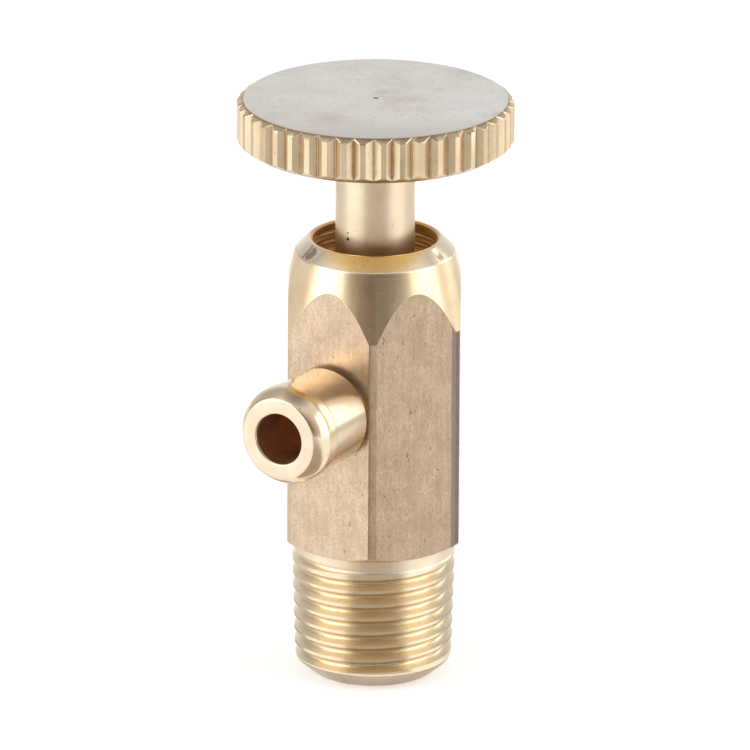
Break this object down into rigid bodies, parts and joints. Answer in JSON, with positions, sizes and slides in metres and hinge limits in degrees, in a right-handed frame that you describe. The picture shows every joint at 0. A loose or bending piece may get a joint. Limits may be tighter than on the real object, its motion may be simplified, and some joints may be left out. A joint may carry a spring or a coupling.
{
  "type": "needle valve",
  "caption": "Small brass angle needle valve: taper-threaded inlet, hexagon body, plain spout outlet at right angles, knurled round handwheel on a rising stem.",
  "frame": {"origin": "centre of the threaded inlet's end face, on the valve's axis", "axes": "+Z along the valve's axis from the threaded end to the handwheel, -Y along the outlet spout, hexagon flats square to Y and every 60 degrees from there"},
  "size_m": [0.0178, 0.0207, 0.0384],
  "materials": {
    "body_brass": "drawn bar on the flats, fine turned on the rim, cone and thread",
    "spout_brass": "bright turned, matt end face",
    "wheel_brass": "straight-knurled edge, fine matt faced top",
    "stem_brass": "bright turned",
    "nitrile_rubber": "moulded, greased",
    "ptfe": "machined, waxy",
    "washer_brass": "stamped",
    "gland_brass": "turned, darkened"
  },
  "bodies": {
    "valve": {"valve_body": "body_brass", "outlet_spout": "spout_brass", "gland_ring": "gland_brass", "gland_washer": "washer_brass"},
    "stem_seals": {"stem_o_ring": "nitrile_rubber", "backup_ring": "ptfe"},
    "stem_and_handwheel": {"stem": "stem_brass", "handwheel": "wheel_brass"}
  },
  "joints": [
    {"name": "stem_rise", "type": "slide", "parent": "valve", "child": "stem_seals", "axis": [0, 0, 1], "range_m": [-0.001, 0.001]},
    {"name": "handwheel_turn", "type": "hinge", "parent": "stem_seals", "child": "stem_and_handwheel", "pos_m": [0, 0, 0.03], "axis": [0, 0, 1], "range_deg": [-720, 720]}
  ],
  "couplings": [
    {"joint": "stem_rise", "follows": "handwheel_turn", "m_per_rad": 0.000079577}
  ]
}
